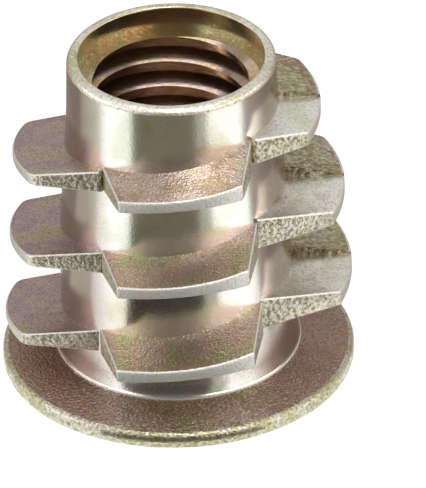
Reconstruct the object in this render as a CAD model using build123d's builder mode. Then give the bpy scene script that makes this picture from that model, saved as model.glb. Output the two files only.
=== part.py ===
from build123d import *
import os

# Driving dimensions, in millimetres.
# The insert stands on its flange, with its axis on Z and the die's parting plane on XZ.

insert_length = 15.2
pitch = 4.05  # rise of the outer thread in one turn

# Flange at the driven end
flange_radius = 7.65
flange_edge_height = 0.74
flange_root_height = 1.0
flange_edge_rounding = 0.24

# Tapering body
collar_radius = 4.5
collar_foot_radius = 4.57
collar_foot_height = 12.7
body_middle_radius = 4.99
body_middle_height = 6.85
body_root_radius = 5.27
root_fillet = 0.2
rim_rounding = 0.26

# Mouth, threaded bore and hexagon drive
mouth_radius = 4.0
mouth_depth = 1.12
bore_radius = 3.37  # minor radius of the inner M8 thread
hexagon_across_flats = 8.0
hexagon_depth = 4.6
hexagon_lead_in = 0.35

# Outer thread: four lugs a turn, each drafted towards its crest
root_reach = 2.8  # distance from the axis where the lugs start, inside the wall
shoulder_reach = 3.4  # where the drafted end faces stop beside the wall
shoulder_widening = 1.2  # width of a lug there, against its width at the crest

# Upper crest edge of the first lug on each side
front_level = 3.91
right_front_level = 4.68
right_rear_level = 4.8
back_level = 5.83
left_level = 2.72

# Radius and half width of the crests on each side, one for each turn from the flange up
front_crests = [(7.45, 2.97), (7.15, 2.85), (6.7, 2.68)]
right_crests = [(7.6, 3.09), (7.35, 3.04), (6.38, 2.96)]
back_crests = [(7.4, 2.95), (7.1, 2.85)]
left_crests = [(7.47, 3.0), (7.18, 3.1), (6.94, 3.0)]

# Form of the lugs: thickness at the crest, slopes of the upper and lower flanks, climb of the
# flanks for each millimetre of width at the root and at the crest, rounding of the corners and
# bevel along the crest
ridge_form = {
    "thickness": 0.53, "upper": 0.1, "lower": 0.17,
    "upper_climb": (0.16, 0.085), "lower_climb": (0.07, 0.06), "corner": 0.12, "bevel": 0.1,
}
left_form = {
    "thickness": 0.44, "upper": 0.08, "lower": 0.08,
    "upper_climb": (0.185, 0.165), "lower_climb": (0.17, 0.165), "corner": 0.6, "bevel": 0.1,
}
# The right lugs are cast by both die halves, which leaves a step on the parting plane
right_front_form = {
    "thickness": 0.5, "upper": 0.06, "lower": 0.19,
    "upper_climb": (0.0, -0.01), "lower_climb": (0.0, 0.0), "corner": 0.12, "bevel": 0.06,
}
right_rear_form = {
    "thickness": 0.5, "upper": 0.2, "lower": 0.15,
    "upper_climb": (-0.03, -0.03), "lower_climb": (0.0, 0.0), "corner": 0.5, "bevel": 0.1,
}

# Directions that the lugs face, in degrees about the axis
facing_right = 0
facing_back = 90
facing_left = 180
facing_front = 270


def cast_lug(facing, level, radius, start, end, form):
    """A lug whose crest runs from start to end, along the climb of the thread."""
    outward = Vector(1, 0, 0).rotate(Axis.Z, facing)
    along = outward.rotate(Axis.Z, 90)
    with BuildPart() as lug:
        # Wedge between the upper and lower flanks
        for reach, upper_climb, lower_climb in zip(
            (root_reach, radius), form["upper_climb"], form["lower_climb"]
        ):
            high = level + form["upper"] * (radius - reach)
            low = level - form["thickness"] - form["lower"] * (radius - reach)
            first = start * shoulder_widening
            last = end * shoulder_widening
            section = Plane(origin=outward * reach, x_dir=along, z_dir=outward)
            with BuildSketch(section):
                with BuildLine():
                    Polyline(
                        (first, low + lower_climb * first),
                        (last, low + lower_climb * last),
                        (last, high + upper_climb * last),
                        (first, high + upper_climb * first),
                        close=True,
                    )
                make_face()
        loft(ruled=True)
        # Plan of the lug, with shoulders at the wall, drafted end faces and a round crest
        start_shoulder = (shoulder_reach, start * shoulder_widening)
        start_corner = Vector((radius**2 - start**2) ** 0.5, start)
        end_corner = Vector((radius**2 - end**2) ** 0.5, end)
        end_shoulder = (shoulder_reach, end * shoulder_widening)
        middle = (start_corner + end_corner).normalized() * radius
        with BuildSketch(Plane(origin=(0, 0, 0), x_dir=outward, z_dir=(0, 0, 1))) as plan:
            with BuildLine():
                ThreePointArc(start_corner, middle, end_corner)
                Polyline(
                    end_corner,
                    end_shoulder,
                    (root_reach, end),
                    (root_reach, start),
                    start_shoulder,
                    start_corner,
                )
            make_face()
            # The corner on the parting plane, at Y 0, stays sharp
            corners = plan.vertices().filter_by(
                lambda corner: corner.X > collar_radius and abs(corner.Y) > form["corner"]
            )
            fillet(corners, form["corner"])
        extrude(amount=insert_length, mode=Mode.INTERSECT)
        # Bevel along the upper and lower edges of the crest and its corners
        crest_faces = lug.faces().filter_by(GeomType.CYLINDER)
        crest_edges = ShapeList(set(crest_faces.edges())).filter_by(Axis.Z, reverse=True)
        chamfer(crest_edges, form["bevel"])
    return lug.part


# Lugs of the outer thread
lugs = []
for turn, (radius, half_width) in enumerate(front_crests):
    level = front_level + turn * pitch
    lugs.append(cast_lug(facing_front, level, radius, -half_width, half_width, ridge_form))
for turn, (radius, half_width) in enumerate(back_crests):
    level = back_level + turn * pitch
    lugs.append(cast_lug(facing_back, level, radius, -half_width, half_width, ridge_form))
for turn, (radius, half_width) in enumerate(left_crests):
    level = left_level + turn * pitch
    lugs.append(cast_lug(facing_left, level, radius, -half_width, half_width, left_form))
for turn, (radius, half_width) in enumerate(right_crests):
    level = right_front_level + turn * pitch
    lugs.append(cast_lug(facing_right, level, radius, -half_width, 0, right_front_form))
    level = right_rear_level + turn * pitch
    lugs.append(cast_lug(facing_right, level, radius, 0, half_width, right_rear_form))

# Body, flange and rim as one turned form
with BuildPart() as insert:
    with BuildSketch(Plane.XZ) as profile:
        with BuildLine():
            Polyline(
                (0, 0),
                (flange_radius, 0),
                (flange_radius, flange_edge_height),
                (body_root_radius, flange_root_height),
                (body_middle_radius, body_middle_height),
                (collar_foot_radius, collar_foot_height),
                (collar_radius, insert_length),
                (0, insert_length),
                close=True,
            )
        make_face()
        flange_corners = profile.vertices().group_by(Axis.X)[-1]
        fillet(flange_corners, flange_edge_rounding)
        root_corner = profile.vertices().sort_by_distance((body_root_radius, flange_root_height))[0]
        fillet(root_corner, root_fillet)
        rim_corner = profile.vertices().sort_by_distance((collar_radius, insert_length))[0]
        fillet(rim_corner, rim_rounding)
    revolve(axis=Axis.Z)

    for lug in lugs:
        add(lug)

    # Counterbored mouth
    with Locations((0, 0, insert_length)):
        CounterBoreHole(
            radius=bore_radius,
            counter_bore_radius=mouth_radius,
            counter_bore_depth=mouth_depth,
        )
    # Hexagon drive, open at the flange
    with BuildSketch(Plane.XY):
        RegularPolygon(radius=hexagon_across_flats / 2, side_count=6, major_radius=False)
    extrude(amount=hexagon_depth, mode=Mode.SUBTRACT)
    hexagon_edges = insert.edges().filter_by(GeomType.LINE).group_by(Axis.Z)[0]
    chamfer(hexagon_edges, hexagon_lead_in)

insert.part.label = "threaded_insert"
os.makedirs("parts", exist_ok=True)
export_step(insert.part, "parts/threaded_insert.step")
print("solids", len(insert.part.solids()), "volume", round(insert.part.volume, 1))
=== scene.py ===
import math
import bmesh
import bpy
from mathutils import Matrix, Vector


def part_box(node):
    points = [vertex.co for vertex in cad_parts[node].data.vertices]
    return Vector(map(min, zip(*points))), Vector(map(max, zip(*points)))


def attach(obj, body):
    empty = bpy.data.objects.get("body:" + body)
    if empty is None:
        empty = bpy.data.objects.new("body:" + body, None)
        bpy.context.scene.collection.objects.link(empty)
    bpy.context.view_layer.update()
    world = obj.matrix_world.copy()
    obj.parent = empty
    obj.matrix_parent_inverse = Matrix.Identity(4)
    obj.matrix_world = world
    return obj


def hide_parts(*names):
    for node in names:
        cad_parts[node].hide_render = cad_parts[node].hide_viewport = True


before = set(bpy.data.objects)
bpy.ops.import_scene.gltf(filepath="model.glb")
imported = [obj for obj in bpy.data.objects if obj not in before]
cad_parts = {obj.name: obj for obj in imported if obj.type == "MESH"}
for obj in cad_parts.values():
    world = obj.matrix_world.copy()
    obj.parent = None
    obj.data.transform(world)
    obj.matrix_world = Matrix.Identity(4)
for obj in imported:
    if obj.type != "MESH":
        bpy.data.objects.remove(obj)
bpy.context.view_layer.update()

mm = 0.001
tiny = 0.0001 * mm
nodeName = "threaded_insert"
nodeLow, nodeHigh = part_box(nodeName)
insertLength = nodeHigh.z - nodeLow.z
flangeRadius = (nodeHigh.x - nodeLow.x) / 2


# Helpers for edit mode

def startEdit(piece):
    if bpy.context.object and bpy.context.object.mode == "EDIT":
        bpy.ops.object.mode_set(mode="OBJECT")
    bpy.ops.object.select_all(action="DESELECT")
    piece.select_set(True)
    bpy.context.view_layer.objects.active = piece
    bpy.ops.object.mode_set(mode="EDIT")
    bpy.ops.mesh.select_all(action="DESELECT")


def endEdit():
    bpy.ops.object.mode_set(mode="OBJECT")
    bpy.ops.object.select_all(action="DESELECT")


def pickEdges(piece, wanted):
    bpy.ops.mesh.select_mode(type="EDGE")
    bpy.ops.mesh.select_all(action="DESELECT")
    cage = bmesh.from_edit_mesh(piece.data)
    for edge in cage.edges:
        if wanted(edge):
            edge.select_set(True)
    bmesh.update_edit_mesh(piece.data)


def pickFaces(piece, wanted):
    bpy.ops.mesh.select_mode(type="FACE")
    bpy.ops.mesh.select_all(action="DESELECT")
    cage = bmesh.from_edit_mesh(piece.data)
    cage.faces.ensure_lookup_table()
    for face in cage.faces:
        if wanted(face):
            face.select_set(True)
    bmesh.update_edit_mesh(piece.data)


def settle(piece):
    bpy.ops.object.select_all(action="DESELECT")
    piece.select_set(True)
    bpy.context.view_layer.objects.active = piece
    bpy.ops.object.transform_apply(location=True, rotation=True, scale=True)


def combine(piece, tool, how):
    bpy.ops.object.select_all(action="DESELECT")
    bpy.context.view_layer.objects.active = piece
    boolean = piece.modifiers.new(how.lower(), "BOOLEAN")
    boolean.operation = how
    boolean.solver = "EXACT"
    boolean.object = tool
    bpy.ops.object.modifier_apply(modifier=boolean.name)
    bpy.data.objects.remove(tool)


def onRing(edge, radius, height):
    slack = 0.02 * mm
    return all(
        abs(math.hypot(v.co.x, v.co.y) - radius) < slack and abs(v.co.z - height) < slack
        for v in edge.verts
    )


# Turned body: flange, tapering body, collar and counterbored mouth

bodyForm = {
    "segments": 256,
    "flangeEdge": 0.74 * mm,
    "flangeEdgeRounding": 0.24 * mm,
    "rings": [  # radius and height of the body's rings, from its foot up
        (5.27 * mm, 1.0 * mm),
        (5.13 * mm, 1.7 * mm),
        (5.06 * mm, 2.7 * mm),
        (4.99 * mm, 6.85 * mm),
        (4.57 * mm, 12.7 * mm),
        (4.5 * mm, insertLength),
    ],
    "footRounding": 0.2 * mm,
    "rimRounding": 0.26 * mm,
    "mouthRadius": 4.0 * mm,
    "mouthDepth": 1.12 * mm,
    "mouthEdge": 0.08 * mm,
    "edgeSegments": 5,
}


def turnBody():
    form = bodyForm
    bpy.ops.mesh.primitive_cylinder_add(
        vertices=form["segments"],
        radius=flangeRadius,
        depth=form["flangeEdge"],
        location=(0, 0, form["flangeEdge"] / 2),
    )
    body = bpy.context.active_object
    body.name = "insertBody"
    settle(body)
    startEdit(body)
    pickFaces(body, lambda face: face.normal.z > 0.9)
    lastRadius = flangeRadius
    lastHeight = form["flangeEdge"]
    for ring, (radius, height) in enumerate(form["rings"]):
        if ring == 0:
            bpy.ops.mesh.inset(thickness=lastRadius - radius)
            bpy.ops.transform.translate(value=(0, 0, height - lastHeight))
        else:
            bpy.ops.mesh.extrude_region_move(
                TRANSFORM_OT_translate={"value": (0, 0, height - lastHeight)}
            )
            scale = radius / lastRadius
            bpy.ops.transform.resize(value=(scale, scale, 1), center_override=(0, 0, height))
        lastRadius = radius
        lastHeight = height
    bpy.ops.mesh.inset(thickness=lastRadius - form["mouthRadius"])
    bpy.ops.mesh.extrude_region_move(
        TRANSFORM_OT_translate={"value": (0, 0, -form["mouthDepth"])}
    )
    # Rounded rim, foot and flange edges
    foot = form["rings"][0]
    for radius, height, rounding in (
        (lastRadius, insertLength, form["rimRounding"]),
        (form["mouthRadius"], insertLength, form["mouthEdge"]),
        (foot[0], foot[1], form["footRounding"]),
        (flangeRadius, form["flangeEdge"], form["flangeEdgeRounding"]),
        (flangeRadius, 0, form["flangeEdgeRounding"]),
    ):
        pickEdges(body, lambda edge: onRing(edge, radius, height))
        bpy.ops.mesh.bevel(
            offset=rounding, segments=form["edgeSegments"], profile=0.5, affect="EDGES"
        )
    endEdit()
    return body


body = turnBody()
print("body turned:", len(body.data.polygons), "faces")


# Lugs of the interrupted outer thread

pitch = 4.05 * mm
lugForm = {
    "rootReach": 2.8 * mm,  # where a lug starts, inside the wall
    "shoulderReach": 3.4 * mm,  # where the drafted end faces stop beside the wall
    "widening": 1.2,  # width of a lug there, against its width at the crest
    "crestSteps": 24,
    "cornerSteps": 6,
    "rimRounding": 0.11 * mm,
    "rimSegments": 4,
    "gridStep": 0.55 * mm,
    "crestMargin": 0.3 * mm,  # strip along the crest that the grid leaves alone
    "spare": 2 * mm,  # height above and below a lug that its flanks cut away
}
ridge = {
    "thickness": 0.53 * mm, "upper": 0.1, "lower": 0.17,
    "upperClimb": (0.15, 0.085), "lowerClimb": (0.07, 0.06), "corner": 0.14 * mm,
}
leftForm = {
    "thickness": 0.44 * mm, "upper": 0.08, "lower": 0.08,
    "upperClimb": (0.18, 0.165), "lowerClimb": (0.17, 0.165), "corner": 0.6 * mm,
}
rightFront = {
    "thickness": 0.5 * mm, "upper": 0.06, "lower": 0.19,
    "upperClimb": (0.0, -0.01), "lowerClimb": (0.0, 0.0), "corner": 0.14 * mm,
}
rightRear = {
    "thickness": 0.5 * mm, "upper": 0.2, "lower": 0.15,
    "upperClimb": (-0.03, -0.03), "lowerClimb": (0.0, 0.0), "corner": 0.5 * mm,
}
partingOverlap = 0.02 * mm  # how far the right front halves reach into the rear ones


def cutAway(point, normal):
    bpy.ops.mesh.select_all(action="SELECT")
    bpy.ops.mesh.bisect(
        plane_co=point, plane_no=normal, use_fill=True, clear_outer=True, threshold=tiny
    )


def scoreAcross(point, normal):
    bpy.ops.mesh.select_all(action="SELECT")
    bpy.ops.mesh.bisect(plane_co=point, plane_no=normal, threshold=tiny)


def sweepArc(centre, radius, first, last, steps):
    turn = (last - first) / steps
    return [
        centre + Vector((math.cos(first + turn * i), math.sin(first + turn * i))) * radius
        for i in range(steps + 1)
    ]


def lugEnd(radius, reach, corner):
    # One end of a lug's plan, from its root outwards: shoulder, drafted end face, corner arc
    crestPoint = Vector((math.sqrt(radius**2 - reach**2), reach))
    if abs(reach) <= partingOverlap:
        return [Vector((lugForm["rootReach"], reach)), crestPoint]
    wide = Vector((lugForm["shoulderReach"], reach * lugForm["widening"]))
    inwards = (wide - crestPoint).normalized()
    across = Vector((-inwards.y, inwards.x)) * math.copysign(1, reach)
    shifted = crestPoint + across * corner
    slide = -shifted.dot(inwards)
    slide -= math.sqrt(slide**2 - shifted.length_squared + (radius - corner) ** 2)
    centre = shifted + inwards * slide
    tangent = -across
    first = math.atan2(tangent.y, tangent.x)
    last = math.atan2(centre.y, centre.x)
    root = Vector((lugForm["rootReach"], reach))
    return [root, wide] + sweepArc(centre, corner, first, last, lugForm["cornerSteps"])


def castLug(name, facing, level, radius, start, end, form):
    # The lug is shaped facing +X, with the thread climbing along +Y, and then turned to its side
    firstEnd = lugEnd(radius, start, form["corner"])
    lastEnd = lugEnd(radius, end, form["corner"])
    first = math.atan2(firstEnd[-1].y, firstEnd[-1].x)
    last = math.atan2(lastEnd[-1].y, lastEnd[-1].x)
    crest = sweepArc(Vector((0, 0)), radius, first, last, lugForm["crestSteps"])
    outline = firstEnd + crest[1:-1] + lastEnd[::-1]
    spare = lugForm["spare"]
    bpy.ops.mesh.primitive_circle_add(vertices=len(outline), radius=radius, fill_type="NGON")
    lug = bpy.context.active_object
    lug.name = name
    for vertex, point in zip(lug.data.vertices, outline):
        vertex.co = (point.x, point.y, level - form["thickness"] - spare)
    startEdit(lug)
    bpy.ops.mesh.select_all(action="SELECT")
    bpy.ops.mesh.extrude_region_move(
        TRANSFORM_OT_translate={"value": (0, 0, form["thickness"] + 2 * spare)}
    )
    bpy.ops.mesh.select_all(action="SELECT")
    bpy.ops.mesh.normals_make_consistent(inside=False)
    upperClimb = form["upperClimb"][1]
    lowerClimb = form["lowerClimb"][1]
    crestLow = level - form["thickness"]
    cutAway((radius, 0, level), (form["upper"], -upperClimb, 1))
    cutAway((radius, 0, crestLow), (form["lower"], lowerClimb, -1))

    # Rounded rims; the root and the parting face stay sharp
    def isRim(edge):
        tilts = sorted(abs(face.normal.z) for face in edge.link_faces)
        middle = (edge.verts[0].co + edge.verts[1].co) / 2
        onRoot = middle.x < lugForm["shoulderReach"]
        onParting = abs(edge.verts[0].co.y - edge.verts[1].co.y) < tiny
        return tilts[0] < 0.5 and tilts[1] > 0.8 and not onRoot and not onParting

    pickEdges(lug, isRim)
    bpy.ops.mesh.bevel(
        offset=lugForm["rimRounding"], segments=lugForm["rimSegments"], profile=0.5, affect="EDGES"
    )

    # Scored into strips, so that the flanks can take their twist
    step = lugForm["gridStep"]
    reach = lugForm["rootReach"] + step
    while reach < radius - lugForm["crestMargin"]:
        scoreAcross((reach, 0, 0), (1, 0, 0))
        reach += step
    across = math.ceil(start / step) * step
    while across < end * lugForm["widening"]:
        scoreAcross((0, across, 0), (0, 1, 0))
        across += step
    endEdit()
    # Twist between the slopes at the root and at the crest
    for vertex in lug.data.vertices:
        x, y, z = vertex.co
        inward = (radius - x) / (radius - lugForm["shoulderReach"])
        low = crestLow - form["lower"] * (radius - x) + lowerClimb * y
        high = level + form["upper"] * (radius - x) + upperClimb * y
        share = (z - low) / (high - low)
        lowTwist = (form["lowerClimb"][0] - lowerClimb) * y * inward
        highTwist = (form["upperClimb"][0] - upperClimb) * y * inward
        vertex.co.z += lowTwist + (highTwist - lowTwist) * share
    lug.rotation_euler = (0, 0, math.radians(facing))
    settle(lug)
    return lug


frontLevel = 3.91 * mm
backLevel = 5.83 * mm
leftLevel = 2.72 * mm
rightFrontLevel = 4.68 * mm
rightRearLevel = 4.8 * mm
frontCrests = [(7.45 * mm, 2.97 * mm), (7.15 * mm, 2.85 * mm), (6.7 * mm, 2.68 * mm)]
backCrests = [(7.4 * mm, 2.95 * mm), (7.1 * mm, 2.85 * mm)]
leftCrests = [(7.47 * mm, 3.0 * mm), (7.18 * mm, 3.1 * mm), (6.94 * mm, 3.0 * mm)]
rightCrests = [(7.6 * mm, 3.09 * mm), (7.35 * mm, 3.04 * mm), (6.38 * mm, 2.96 * mm)]


def castThread():
    lugs = []
    for turn, (radius, half) in enumerate(frontCrests):
        level = frontLevel + turn * pitch
        lugs.append(castLug("frontLug", 270, level, radius, -half, half, ridge))
    for turn, (radius, half) in enumerate(backCrests):
        level = backLevel + turn * pitch
        lugs.append(castLug("backLug", 90, level, radius, -half, half, ridge))
    for turn, (radius, half) in enumerate(leftCrests):
        level = leftLevel + turn * pitch
        lugs.append(castLug("leftLug", 180, level, radius, -half, half, leftForm))
    for turn, (radius, half) in enumerate(rightCrests):
        level = rightFrontLevel + turn * pitch
        lugs.append(castLug("rightFrontHalf", 0, level, radius, -half, partingOverlap, rightFront))
        level = rightRearLevel + turn * pitch
        lugs.append(castLug("rightRearHalf", 0, level, radius, 0, half, rightRear))
    return lugs


for lug in castThread():
    combine(body, lug, "UNION")
print("lugs cast on:", len(body.data.polygons), "faces")


# Inner thread, cut with a tap, and the hexagon drive

tapForm = {
    "segments": 160,
    "turns": 11,
    "pitch": 1.25 * mm,
    "minorRadius": 3.37 * mm,
    "majorRadius": 4.0 * mm,
    "crestWidth": 0.29 * mm,
    "rootWidth": 0.16 * mm,
    "crestTop": 14.1 * mm,  # upper edge of the first crest, at the back
    "low": 4.3 * mm,
    "overrun": 0.02 * mm,
    "weld": 0.001 * mm,
}
hexagonForm = {
    "acrossFlats": 8.0 * mm,
    "depth": 4.6 * mm,
    "leadIn": 0.35 * mm,
    "overrun": 1 * mm,
}


def makeTap():
    form = tapForm
    flank = (form["pitch"] - form["crestWidth"] - form["rootWidth"]) / 2
    high = insertLength - bodyForm["mouthDepth"] + form["overrun"]
    # The profile starts on the right, a quarter turn before the back
    startHeight = form["crestTop"] - (form["turns"] - 1 + 0.25) * form["pitch"]
    profile = [
        (form["minorRadius"], 0),
        (form["majorRadius"], flank),
        (form["majorRadius"], flank + form["rootWidth"]),
        (form["minorRadius"], 2 * flank + form["rootWidth"]),
        (form["minorRadius"], form["pitch"]),
    ]
    bpy.ops.mesh.primitive_plane_add(size=0.1 * mm)
    tap = bpy.context.active_object
    tap.name = "tap"
    startEdit(tap)
    bpy.ops.mesh.select_mode(type="VERT")
    bpy.ops.mesh.select_all(action="SELECT")
    bpy.ops.mesh.merge(type="CENTER")
    bpy.ops.transform.translate(value=(profile[0][0], 0, startHeight))
    for here, there in zip(profile, profile[1:]):
        bpy.ops.mesh.extrude_region_move(
            TRANSFORM_OT_translate={"value": (there[0] - here[0], 0, there[1] - here[1])}
        )
    endEdit()
    bpy.context.view_layer.objects.active = tap
    screw = tap.modifiers.new("screw", "SCREW")
    screw.axis = "Z"
    screw.angle = 2 * math.pi
    screw.screw_offset = form["pitch"]
    screw.iterations = form["turns"]
    screw.steps = form["segments"]
    screw.render_steps = form["segments"]
    screw.use_merge_vertices = True
    screw.merge_threshold = form["weld"]
    bpy.ops.object.modifier_apply(modifier=screw.name)
    startEdit(tap)
    bpy.ops.mesh.select_all(action="SELECT")
    bpy.ops.mesh.remove_doubles(threshold=form["weld"])
    cutAway((0, 0, high), (0, 0, 1))
    cutAway((0, 0, form["low"]), (0, 0, -1))
    bpy.ops.mesh.select_all(action="SELECT")
    bpy.ops.mesh.normals_make_consistent(inside=False)
    endEdit()
    return tap


def makeHexagon():
    form = hexagonForm
    radius = form["acrossFlats"] / 2 / math.cos(math.radians(30))
    flare = 1 + form["leadIn"] / (form["acrossFlats"] / 2)
    bpy.ops.mesh.primitive_cylinder_add(
        vertices=6,
        radius=radius,
        depth=form["depth"] - form["leadIn"],
        location=(0, 0, (form["depth"] + form["leadIn"]) / 2),
        rotation=(0, 0, math.radians(30)),
    )
    hexagon = bpy.context.active_object
    hexagon.name = "hexagon"
    settle(hexagon)
    startEdit(hexagon)
    pickFaces(hexagon, lambda face: face.normal.z < -0.9)
    bpy.ops.mesh.extrude_region_move(
        TRANSFORM_OT_translate={"value": (0, 0, -form["leadIn"])}
    )
    bpy.ops.transform.resize(value=(flare, flare, 1), center_override=(0, 0, 0))
    bpy.ops.mesh.extrude_region_move(
        TRANSFORM_OT_translate={"value": (0, 0, -form["overrun"])}
    )
    endEdit()
    return hexagon


combine(body, makeHexagon(), "DIFFERENCE")
print("hexagon sunk:", len(body.data.polygons), "faces")
combine(body, makeTap(), "DIFFERENCE")
print("bore tapped:", len(body.data.polygons), "faces")

bpy.ops.object.select_all(action="DESELECT")
body.select_set(True)
bpy.context.view_layer.objects.active = body
smoothAngle = 28
bpy.ops.object.shade_smooth_by_angle(angle=math.radians(smoothAngle))


# Finish: iridescent chromate film over satin cast zinc, with painted shade on some films

filmForm = {
    "rampStart": 0.32,  # band of the noise that the tints are spread over
    "rampWidth": 0.36,
    "patchDetail": 4,
    "grainDetail": 3,
    "grainMiddle": 0.5,
    "grainReach": 0.18,  # from the middle of the grain to its full specks and pits
    # Band of distance from the middle across which the painted side shade comes in
    "sideStart": 2.9 * mm,
    "sideEnd": 3.9 * mm,
}


def makeFilm(name, film):
    material = bpy.data.materials.new(name)
    material.use_nodes = True
    nodes = material.node_tree.nodes
    links = material.node_tree.links
    shader = nodes["Principled BSDF"]
    shader.inputs["Metallic"].default_value = film.get("metal", 1)
    place = nodes.new("ShaderNodeTexCoord").outputs["Object"]

    def addNoise(scale, detail, offset):
        noise = nodes.new("ShaderNodeTexNoise")
        noise.noise_dimensions = "4D"
        noise.inputs["W"].default_value = offset
        noise.inputs["Scale"].default_value = scale / mm
        noise.inputs["Detail"].default_value = detail
        links.new(place, noise.inputs["Vector"])
        return noise.outputs["Fac"]

    def spread(value, low, high, start, end):
        span = nodes.new("ShaderNodeMapRange")
        links.new(value, span.inputs["Value"])
        span.inputs["From Min"].default_value = low
        span.inputs["From Max"].default_value = high
        span.inputs["To Min"].default_value = start
        span.inputs["To Max"].default_value = end
        return span.outputs["Result"]

    def layOver(share, under, tint):
        mix = nodes.new("ShaderNodeMix")
        mix.data_type = "RGBA"
        links.new(share, mix.inputs["Factor"])
        links.new(under, mix.inputs["A"])
        mix.inputs["B"].default_value = (*tint, 1)
        return mix.outputs["Result"]

    # Patches of film colour, a few tenths of a millimetre to some millimetres across
    ramp = nodes.new("ShaderNodeValToRGB")
    ramp.color_ramp.interpolation = "EASE"
    tints = film["tints"]
    while len(ramp.color_ramp.elements) < len(tints):
        ramp.color_ramp.elements.new(0.5)
    for index, (stop, tint) in enumerate(zip(ramp.color_ramp.elements, tints)):
        stop.position = filmForm["rampStart"] + filmForm["rampWidth"] * index / (len(tints) - 1)
        stop.color = (*tint, 1)
    patches = addNoise(film["patch"], filmForm["patchDetail"], film["offset"])
    links.new(patches, ramp.inputs["Fac"])
    # Bright specks and dark pits of the casting's grain
    grain = addNoise(film["grain"], filmForm["grainDetail"], film["offset"] + 1)
    middle = filmForm["grainMiddle"]
    specks = spread(grain, middle, middle + filmForm["grainReach"], 0, film["specks"])
    pits = spread(grain, middle, middle - filmForm["grainReach"], 0, film["pits"])
    colour = layOver(specks, ramp.outputs["Color"], film["speckTint"])
    colour = layOver(pits, colour, film["pitTint"])
    if "sideShade" in film:
        # Painted shade: the colour is darkened towards the left and right sides
        apart = nodes.new("ShaderNodeSeparateXYZ")
        links.new(place, apart.inputs["Vector"])
        aside = nodes.new("ShaderNodeMath")
        aside.operation = "ABSOLUTE"
        links.new(apart.outputs["X"], aside.inputs[0])
        outwards = aside.outputs["Value"]
        sideShade = spread(outwards, filmForm["sideStart"], filmForm["sideEnd"], 0, film["sideShade"])
        colour = layOver(sideShade, colour, film["sideShadeTint"])
    links.new(colour, shader.inputs["Base Color"])
    low, high = film["roughness"]
    links.new(spread(grain, 0.3, 0.7, high, low), shader.inputs["Roughness"])
    bump = nodes.new("ShaderNodeBump")
    bump.inputs["Strength"].default_value = 1
    bump.inputs["Distance"].default_value = film["bump"] * mm
    links.new(grain, bump.inputs["Height"])
    links.new(bump.outputs["Normal"], shader.inputs["Normal"])
    return material


white = (0.96, 0.95, 0.91)
silver = (0.90, 0.89, 0.82)
paleGold = (0.76, 0.71, 0.55)
paleGreen = (0.78, 0.82, 0.68)
olive = (0.50, 0.47, 0.29)
mauve = (0.57, 0.46, 0.44)
rose = (0.64, 0.47, 0.41)
brown = (0.40, 0.30, 0.22)
maroon = (0.36, 0.22, 0.17)
darkGold = (0.55, 0.42, 0.24)
dullSilver = (0.60, 0.58, 0.48)
violet = (0.47, 0.37, 0.43)
leafGreen = (0.50, 0.55, 0.36)
darkOlive = (0.26, 0.24, 0.14)
black = (0.08, 0.07, 0.05)

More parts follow.
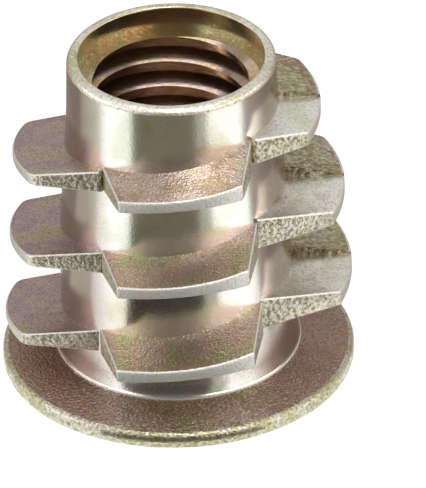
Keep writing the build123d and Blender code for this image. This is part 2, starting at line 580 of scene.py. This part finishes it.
# Patches and grain are counted per millimetre, bumps are in millimetres
films = {
    "bodyFilm": {
        "tints": (paleGold, silver, white, paleGreen), "patch": 0.3, "offset": 2.0,
        "grain": 9.0, "specks": 0.3, "pits": 0.5, "speckTint": silver, "pitTint": paleGold,
        # Painted shade towards the left and right sides, in a dark brown tint
        "roughness": (0.15, 0.24), "bump": 0.004, "sideShade": 0.8, "sideShadeTint": (0.39, 0.31, 0.27),
    },
    "flankFilm": {
        "tints": (leafGreen, olive, rose, mauve, olive), "patch": 0.5, "offset": 5.0,
        "grain": 10.0, "specks": 0.8, "pits": 0.9, "speckTint": paleGold, "pitTint": brown,
        "roughness": (0.25, 0.42), "bump": 0.04,
    },
    # Darker copy of the flank film for the flanks beside the collar: painted shade
    "collarFlankShadeFilm": {
        "tints": (olive, mauve, brown, olive), "patch": 0.5, "offset": 5.0,
        "grain": 10.0, "specks": 0.5, "pits": 1.0, "speckTint": paleGold, "pitTint": maroon,
        "roughness": (0.24, 0.38), "bump": 0.03,
    },
    "leftFilm": {
        "tints": (olive, mauve, violet, mauve, olive), "patch": 0.45, "offset": 3.0,
        "grain": 10.0, "specks": 0.4, "pits": 1.0, "speckTint": paleGold, "pitTint": maroon,
        "roughness": (0.28, 0.45), "bump": 0.02,
    },
    "partingFilm": {
        "tints": (paleGold, white, paleGreen, white), "patch": 0.6, "offset": 4.5,
        "grain": 8.0, "specks": 0.7, "pits": 0.7, "speckTint": white, "pitTint": mauve,
        "roughness": (0.28, 0.45), "bump": 0.025,
    },
    "pebbleFilm": {
        "tints": (olive, brown, olive, mauve), "patch": 0.5, "offset": 8.0,
        "grain": 5.0, "specks": 0.8, "pits": 0.9, "speckTint": paleGold, "pitTint": darkOlive,
        "roughness": (0.28, 0.45), "bump": 0.13,
    },
    # Painted shadow: the riser of the parting step is coloured dark, near black in its pits
    "seamShadowFilm": {
        "tints": (darkOlive, brown, darkOlive, olive), "patch": 1.2, "offset": 2.5,
        "grain": 4.0, "specks": 0.7, "pits": 0.9, "speckTint": paleGold, "pitTint": black,
        "roughness": (0.35, 0.55), "bump": 0.1,
    },
    "endFilm": {
        "tints": (olive, paleGold, dullSilver, olive), "patch": 0.6, "offset": 7.0,
        "grain": 6.0, "specks": 0.7, "pits": 1.0, "speckTint": silver, "pitTint": darkOlive,
        "roughness": (0.28, 0.5), "bump": 0.09,
    },
    "crestFilm": {
        "tints": (silver, white, silver, white), "patch": 0.8, "offset": 3.0,
        "grain": 9.0, "specks": 0.7, "pits": 0.45, "speckTint": white, "pitTint": olive,
        "roughness": (0.35, 0.55), "bump": 0.03, "metal": 0.55,
    },
    "rimFilm": {
        "tints": (olive, paleGold, silver, paleGold), "patch": 0.3, "offset": 1.0,
        "grain": 8.0, "specks": 0.8, "pits": 0.8, "speckTint": white, "pitTint": olive,
        "roughness": (0.28, 0.5), "bump": 0.04,
    },
    "flangeFilm": {
        "tints": (olive, rose, mauve, brown, leafGreen), "patch": 0.5, "offset": 9.0,
        "grain": 8.0, "specks": 0.9, "pits": 0.9, "speckTint": paleGold, "pitTint": maroon,
        # Painted shade towards the left and right sides, in a maroon tint
        "roughness": (0.2, 0.36), "bump": 0.08, "metal": 0.85, "sideShade": 0.65, "sideShadeTint": maroon,
    },
    "edgeFilm": {
        "tints": (olive, dullSilver, olive, dullSilver), "patch": 0.35, "offset": 1.5,
        "grain": 7.0, "specks": 0.5, "pits": 0.9, "speckTint": silver, "pitTint": darkOlive,
        "roughness": (0.25, 0.45), "bump": 0.06,
    },
    # Brown film of the bore and hexagon, its tints darkened as painted shade of the recess
    "boreFilmAndShade": {
        "tints": (brown, darkGold, rose, maroon), "patch": 0.5, "offset": 4.0,
        "grain": 7.0, "specks": 0.3, "pits": 0.3, "speckTint": paleGold, "pitTint": maroon,
        "roughness": (0.12, 0.22), "bump": 0.004,
    },
    # Olive film of the counterbore, its tints darkened as painted shade of the recess
    "mouthFilmAndShade": {
        "tints": (olive, darkGold, olive, paleGold), "patch": 0.4, "offset": 6.0,
        "grain": 8.0, "specks": 0.4, "pits": 0.4, "speckTint": silver, "pitTint": brown,
        "roughness": (0.14, 0.24), "bump": 0.008,
    },
}


def wallRadius(height):
    # Radius of the tapering body at a height, between its rings
    for (lowRadius, low), (highRadius, high) in zip(bodyForm["rings"], bodyForm["rings"][1:]):
        if height <= high:
            return lowRadius + (highRadius - lowRadius) * (height - low) / (high - low)
    return bodyForm["rings"][-1][0]


zones = {
    "slack": 0.03 * mm,
    "mouthSlack": 0.01 * mm,
    "rimBand": 0.3 * mm,  # width of the rounded rims at the mouth and at the flange
    "flangeTop": 1.02 * mm,
    "collarFlanks": 11.6 * mm,  # flanks above this height lie beside the collar
    "flatFlange": 0.97,  # cosines of the tilts that part one zone from another
    "flatFlank": 0.93,
    "facingOut": 0.93,
    "facingIn": -0.5,
    "crestBevel": 0.3,
}


def filmAt(centre, normal):
    # The film that a face carries, by its place on the insert and the way it faces
    radius = math.hypot(centre.x, centre.y)
    outward = (normal.x * centre.x + normal.y * centre.y) / radius if radius > tiny else 0
    mouthFloor = insertLength - bodyForm["mouthDepth"] - zones["mouthSlack"]
    inBore = radius < bodyForm["mouthRadius"] + zones["slack"]
    # The counterbore, bore and hexagon take their own film colours, darkened as painted shade
    if inBore and centre.z > mouthFloor:
        return "mouthFilmAndShade"
    if inBore and centre.z > tiny:
        return "boreFilmAndShade"
    if centre.z < hexagonForm["depth"] + tiny and outward < zones["facingIn"]:
        return "boreFilmAndShade"
    if centre.z > insertLength - zones["rimBand"]:
        return "rimFilm"
    if centre.z < zones["flangeTop"]:
        if abs(normal.z) < zones["flatFlange"] and radius > flangeRadius - zones["rimBand"]:
            return "edgeFilm"
        return "flangeFilm"
    if abs(normal.z) > zones["flatFlank"]:
        if abs(centre.y) > abs(centre.x) or normal.z < 0:
            # Flanks beside the collar take the darker flank film, as painted shade
            return "collarFlankShadeFilm" if centre.z > zones["collarFlanks"] else "flankFilm"
        if centre.x < 0:
            return "leftFilm"
        return "pebbleFilm" if centre.y > 0 else "partingFilm"
    if radius < wallRadius(centre.z) + zones["slack"]:
        return "bodyFilm"
    # The riser of the parting step takes the dark painted-shadow film
    if abs(centre.y) < 2 * partingOverlap and centre.x > 0:
        return "seamShadowFilm"
    if abs(normal.z) > zones["crestBevel"] or outward > zones["facingOut"]:
        return "crestFilm"
    return "endFilm"


def coatInsert():
    for name, film in films.items():
        body.data.materials.append(makeFilm(name, film))
    startEdit(body)
    for slot, name in enumerate(films):
        pickFaces(body, lambda face: filmAt(face.calc_center_median(), face.normal) == name)
        body.active_material_index = slot
        bpy.ops.object.material_slot_assign()
    endEdit()


coatInsert()
print("finish laid on:", len(body.data.materials), "films")
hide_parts(nodeName)
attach(body, "root")


# Stage: pale floor, a soft tent and its flags

def glowOnSight(material, lift):
    # Emission that is seen directly and in reflections, and lights nothing
    nodes = material.node_tree.nodes
    links = material.node_tree.links
    path = nodes.new("ShaderNodeLightPath")
    seen = nodes.new("ShaderNodeMath")
    seen.operation = "MAXIMUM"
    links.new(path.outputs["Is Camera Ray"], seen.inputs[0])
    links.new(path.outputs["Is Glossy Ray"], seen.inputs[1])
    through = nodes.new("ShaderNodeMath")
    through.operation = "MAXIMUM"
    links.new(seen.outputs[0], through.inputs[0])
    links.new(path.outputs["Is Transmission Ray"], through.inputs[1])
    strength = nodes.new("ShaderNodeMath")
    strength.operation = "MULTIPLY"
    links.new(through.outputs[0], strength.inputs[0])
    strength.inputs[1].default_value = lift
    return strength.outputs[0]


floorForm = {"size": 6, "shade": 0.8, "lift": 0.7}
ambient = 0.375


def makeFloorMaterial():
    material = bpy.data.materials.new("paleFloor")
    material.use_nodes = True
    shader = material.node_tree.nodes["Principled BSDF"]
    shade = floorForm["shade"]
    shader.inputs["Base Color"].default_value = (shade, shade, shade, 1)
    shader.inputs["Roughness"].default_value = 1
    shader.inputs["Specular IOR Level"].default_value = 0
    shader.inputs["Emission Color"].default_value = (1, 1, 1, 1)
    strength = glowOnSight(material, floorForm["lift"])
    material.node_tree.links.new(strength, shader.inputs["Emission Strength"])
    return material


bpy.ops.mesh.primitive_plane_add(size=floorForm["size"], location=(0, 0, 0))
floor = bpy.context.active_object
floor.name = "floor"
floor.data.materials.append(makeFloorMaterial())

world = bpy.data.worlds.new("studio")
bpy.context.scene.world = world
world.use_nodes = True
worldNodes = world.node_tree.nodes
worldLinks = world.node_tree.links
worldNodes["Background"].inputs["Color"].default_value = (1, 1, 1, 1)
lifted = worldNodes.new("ShaderNodeMath")
lifted.operation = "ADD"
worldLinks.new(glowOnSight(world, 1 - ambient), lifted.inputs[0])
lifted.inputs[1].default_value = ambient
worldLinks.new(lifted.outputs[0], worldNodes["Background"].inputs["Strength"])


def addCard(name, start, end, firstAzimuth, lastAzimuth, glow):
    # A straight edge from start to end (radius, height) swept about the insert;
    # azimuths count from the front, to the right
    bpy.ops.mesh.primitive_plane_add(size=1 * mm)
    card = bpy.context.active_object
    card.name = name
    startEdit(card)
    bpy.ops.mesh.select_mode(type="VERT")
    bpy.ops.mesh.select_all(action="SELECT")
    bpy.ops.mesh.merge(type="CENTER")
    turn = math.radians(firstAzimuth)
    aside = Vector((math.sin(turn), -math.cos(turn), 0))
    first = aside * start[0] + Vector((0, 0, start[1]))
    last = aside * end[0] + Vector((0, 0, end[1]))
    bpy.ops.transform.translate(value=first)
    bpy.ops.mesh.extrude_region_move(TRANSFORM_OT_translate={"value": last - first})
    bpy.ops.mesh.select_all(action="SELECT")
    sweep = lastAzimuth - firstAzimuth
    steps = max(4, round(sweep / 5))
    bpy.ops.mesh.spin(
        steps=steps, angle=math.radians(sweep), center=(0, 0, 0), axis=(0, 0, -1)
    )
    endEdit()
    material = bpy.data.materials.new(name)
    material.use_nodes = True
    nodes = material.node_tree.nodes
    nodes.remove(nodes["Principled BSDF"])
    lamp = nodes.new("ShaderNodeEmission")
    lamp.inputs["Color"].default_value = (glow[0], glow[1], glow[2], 1)
    lamp.inputs["Strength"].default_value = 1
    material.node_tree.links.new(lamp.outputs[0], nodes["Material Output"].inputs["Surface"])
    card.data.materials.append(material)
    card.visible_camera = False
    card.visible_diffuse = False
    card.visible_shadow = False


rimReach = 7.75 * mm
nearFloor = 9 * mm
middleFloor = 23.5 * mm
farFloor = 260 * mm
tentBand = 105 * mm
tentHeight = 210 * mm
cardLift = 0.3 * mm
glowLow = (250 * mm, 40 * mm)
glowHigh = (250 * mm, 140 * mm)
tentFoot = (farFloor, 0)
tentMiddle = (farFloor, tentBand)
tentTop = (farFloor, tentHeight)
shoulderTop = (150 * mm, 290 * mm)
rimShade = (0.16, 0.15, 0.12)
darkShade = (0.04, 0.038, 0.034)
oliveShade = (0.16, 0.15, 0.10)
halfShade = (0.42, 0.42, 0.36)
mauveShade = (0.36, 0.31, 0.28)
shoulderShade = (0.5, 0.46, 0.4)
rosyGlow = (2.6, 2.35, 2.3)


def hangFloorCard(name, inner, outer, firstAzimuth, lastAzimuth, glow):
    addCard(name, (inner, cardLift), (outer, cardLift), firstAzimuth, lastAzimuth, glow)


# Cards on the floor, which the upright walls reflect
hangFloorCard("rimFlag", rimReach, nearFloor, -30, 26, rimShade)
hangFloorCard("nearFlag", nearFloor, middleFloor, -44, 20, darkShade)
hangFloorCard("farFlag", middleFloor, farFloor, -44, 20, oliveShade)
hangFloorCard("halfFlag", nearFloor, farFloor, 20, 32, halfShade)
hangFloorCard("rightFloorCard", nearFloor, farFloor, 72, 180, mauveShade)
hangFloorCard("leftFloorCard", nearFloor, farFloor, 180, 250, mauveShade)
hangFloorCard("halfFloorCard", nearFloor, farFloor, 250, 280, (0.72, 0.7, 0.64))

# The tent's walls, shoulders and top, which the flanks and the flange reflect
addCard("tentLowWall", tentFoot, tentMiddle, 35, 325, (0.38, 0.34, 0.31))
addCard("tentHighWall", tentMiddle, tentTop, 60, 300, (0.85, 0.84, 0.8))
addCard("rightGlow", glowLow, glowHigh, 20, 100, rosyGlow)
addCard("leftGlow", glowLow, glowHigh, 250, 314, rosyGlow)
addCard("cameraFlag", tentFoot, tentTop, -35, 35, (0.14, 0.14, 0.13))
addCard("tentShoulder", tentTop, shoulderTop, 60, 300, (0.45, 0.45, 0.42))
addCard("cameraShoulder", tentTop, shoulderTop, -14, 14, (0.22, 0.2, 0.18))
addCard("rightShoulder", tentTop, shoulderTop, 14, 60, shoulderShade)
addCard("leftShoulder", tentTop, shoulderTop, 300, 346, shoulderShade)
addCard("topPanel", (160 * mm, 300 * mm), (1 * mm, 330 * mm), 0, 360, (1.6, 1.6, 1.6))


softboxForm = {
    "azimuth": 10,
    "elevation": 62,
    "distance": 240 * mm,
    "size": 100 * mm,
    "power": 0.15,
}


def addSoftbox():
    form = softboxForm
    aim = Vector((0, 0, insertLength / 2))
    angle = math.radians(form["azimuth"])
    rise = math.radians(form["elevation"])
    offset = Vector((
        math.sin(angle) * math.cos(rise), -math.cos(angle) * math.cos(rise), math.sin(rise),
    ))
    lamp = bpy.data.lights.new("topSoftbox", "AREA")
    lamp.shape = "SQUARE"
    lamp.size = form["size"]
    lamp.energy = form["power"]
    box = bpy.data.objects.new("topSoftbox", lamp)
    bpy.context.collection.objects.link(box)
    box.location = aim + offset * form["distance"]
    box.rotation_euler = (-offset).to_track_quat("-Z", "Y").to_euler()


addSoftbox()


# Camera at the photograph's viewing angle

cameraForm = {
    "azimuth": -2.5,  # degrees about the insert, seen from the front
    "elevation": 32.55,
    "roll": 1.4,
    "distance": 500 * mm,
    "pixelsPerMetre": 23140,
    "pictureWidth": 426,
    "pictureHeight": 488,
    "targetPixel": (175, 205),
    "targetHeight": 7.62 * mm,
    "sensorWidth": 36,
    "clip": (0.01, 20),
}


def placeCamera():
    form = cameraForm
    azimuth = math.radians(form["azimuth"])
    elevation = math.radians(form["elevation"])
    roll = math.radians(form["roll"])
    back = Vector((
        math.sin(azimuth) * math.cos(elevation),
        -math.cos(azimuth) * math.cos(elevation),
        math.sin(elevation),
    ))
    right = Vector((math.cos(azimuth), math.sin(azimuth), 0))
    up = back.cross(right)
    rolledRight = right * math.cos(roll) - up * math.sin(roll)
    rolledUp = right * math.sin(roll) + up * math.cos(roll)
    scale = form["pixelsPerMetre"]
    offsetX = (form["pictureWidth"] / 2 - form["targetPixel"][0]) / scale
    offsetY = (form["targetPixel"][1] - form["pictureHeight"] / 2) / scale
    aim = Vector((0, 0, form["targetHeight"])) + rolledRight * offsetX + rolledUp * offsetY
    lens = bpy.data.cameras.new("photoCamera")
    lens.sensor_width = form["sensorWidth"]
    lens.lens = scale * form["distance"] * lens.sensor_width / form["pictureHeight"]
    lens.clip_start, lens.clip_end = form["clip"]
    camera = bpy.data.objects.new("photoCamera", lens)
    bpy.context.collection.objects.link(camera)
    turn = Matrix((rolledRight, rolledUp, back)).transposed()
    camera.matrix_world = Matrix.Translation(aim + back * form["distance"]) @ turn.to_4x4()
    bpy.context.scene.camera = camera


placeCamera()
bpy.context.scene.view_settings.view_transform = "Standard"
